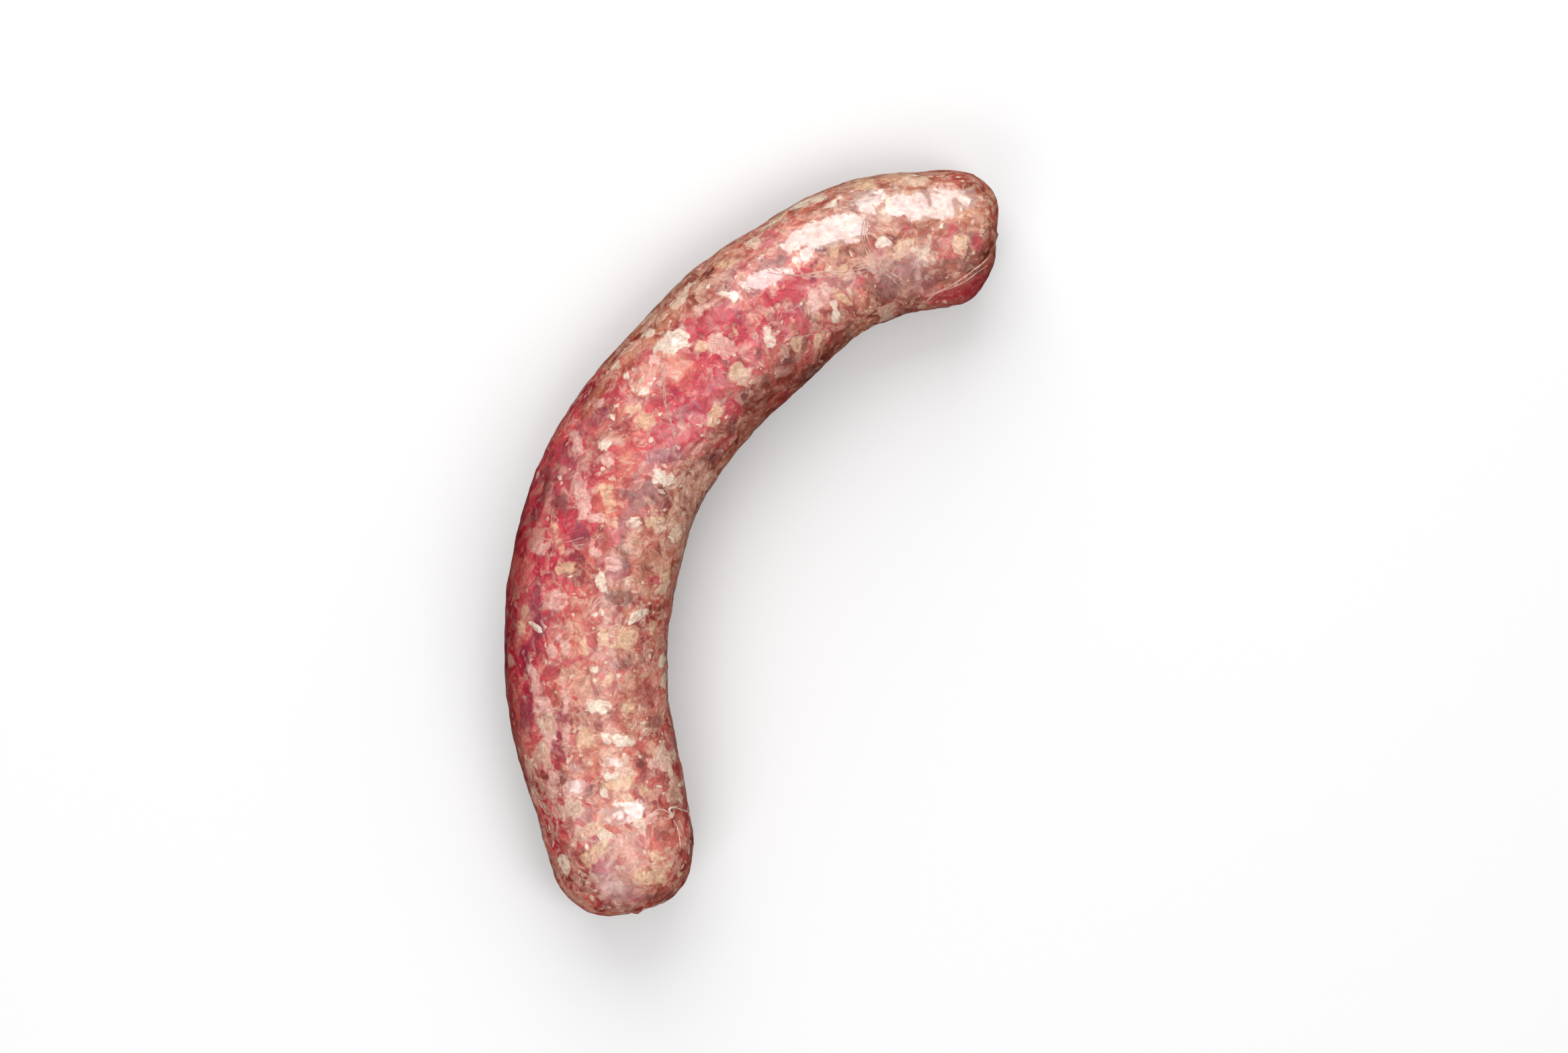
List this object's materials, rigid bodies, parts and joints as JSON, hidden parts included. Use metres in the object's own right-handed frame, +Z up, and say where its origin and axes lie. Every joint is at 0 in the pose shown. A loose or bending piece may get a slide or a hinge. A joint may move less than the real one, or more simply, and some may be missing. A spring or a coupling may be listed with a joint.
{
  "type": "raw sausage",
  "caption": "Raw coarse-ground pork sausage in natural casing, blunt at both ends, lying on its side in a quarter-turn bend; food to cook, serve or display.",
  "frame": {"origin": "on the resting surface, under the centre of the sausage's box", "axes": "+Z up from the resting surface; +Y towards the upper tip's side, so that the lower end runs towards -Y; +X the way the upper tip points"},
  "size_m": [0.1012, 0.1528, 0.0304],
  "materials": {
    "filled_casing": "wet, glossy natural casing over pink and brown mince with cream fat"
  },
  "bodies": {
    "root": {"sausage": "filled_casing"}
  },
  "joints": []
}
